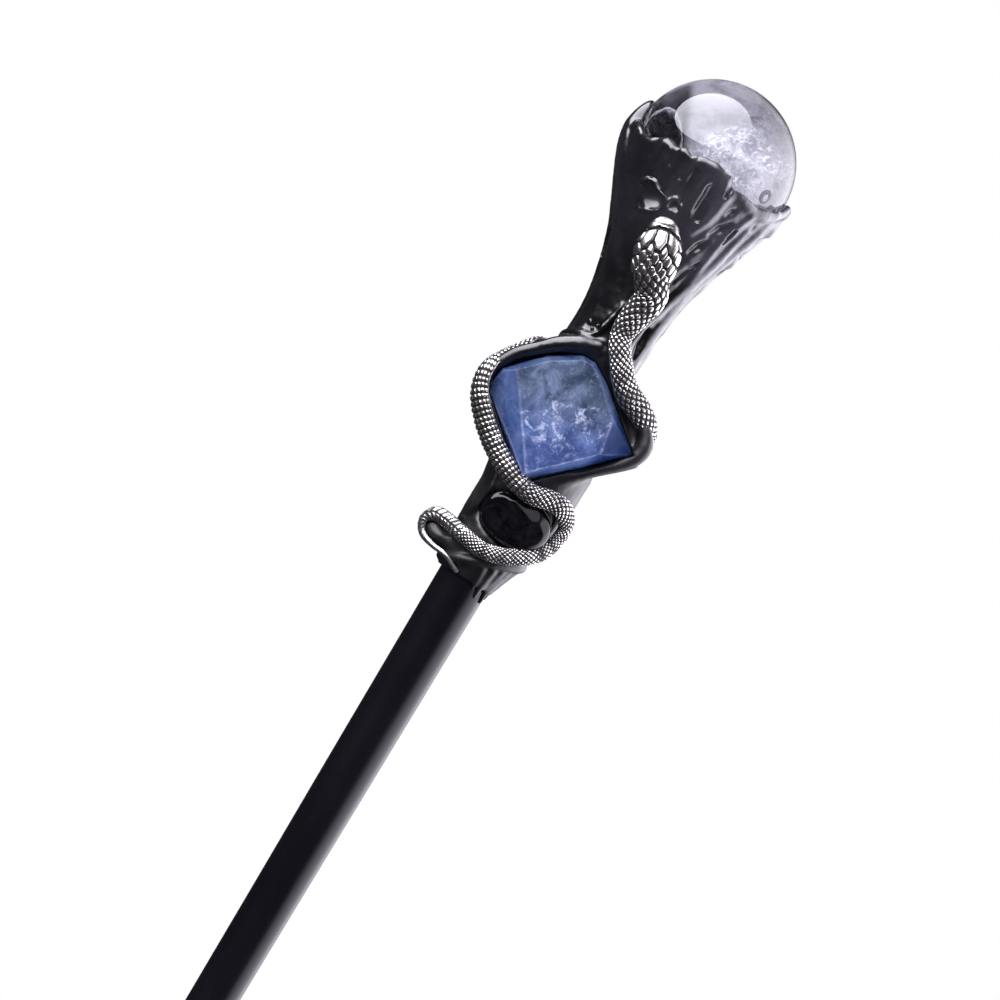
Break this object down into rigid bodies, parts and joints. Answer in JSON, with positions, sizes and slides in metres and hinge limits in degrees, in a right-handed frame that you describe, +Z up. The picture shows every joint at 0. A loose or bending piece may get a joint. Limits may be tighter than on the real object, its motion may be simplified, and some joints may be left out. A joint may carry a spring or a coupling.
{
  "type": "magic wand",
  "caption": "Straight tapered black wand with a clear crystal ball cupped at its head, a raw blue octahedral crystal set below it and a silver snake wound round the head.",
  "frame": {"origin": "centre of the shaft's flat end face", "axes": "+Z runs up the wand from the shaft's end to the ball, -Y is the side that the blue crystal faces, +X is to the right of someone who looks at the crystal with the ball up"},
  "size_m": [0.0416, 0.0396, 0.35],
  "materials": {
    "lacquered_wood": "satin black lacquer",
    "black_clay": "glossy, fire-cured black modelling clay under clear varnish",
    "cast_silver": "antiqued white metal, dark in its recesses",
    "blue_crystal": "raw blue fluorite, frosted cleaved faces",
    "clear_crystal": "polished clear quartz with white veils",
    "polished_stone": "mirror-polished black volcanic glass",
    "clear_epoxy": "set clear epoxy",
    "steel": "drawn rod"
  },
  "bodies": {
    "root": {"shaft": "lacquered_wood", "core_rod": "steel", "grip_body": "black_clay", "collar_lip": "black_clay", "drip_skirt": "black_clay", "black_stone": "polished_stone", "stone_rim": "black_clay", "stone_glue_bed": "clear_epoxy", "gem_setting": "black_clay", "setting_ridge": "black_clay", "setting_lug": "black_clay", "fluorite_octahedron": "blue_crystal", "gem_glue_bed": "clear_epoxy", "neck": "black_clay", "neck_strand_right": "black_clay", "neck_strand_back": "black_clay", "neck_strand_left": "black_clay", "ball_cup": "black_clay", "cup_drape_right": "black_clay", "cup_drape_back_right": "black_clay", "cup_drape_back": "black_clay", "cup_drape_back_left": "black_clay", "cup_drape_left": "black_clay", "ball_glue_pad": "clear_epoxy", "quartz_ball": "clear_crystal", "front_petals": "black_clay", "left_petal": "black_clay", "right_claw": "black_clay", "back_petal": "black_clay", "snake": "cast_silver", "tail_fill": "black_clay"}
  },
  "joints": []
}
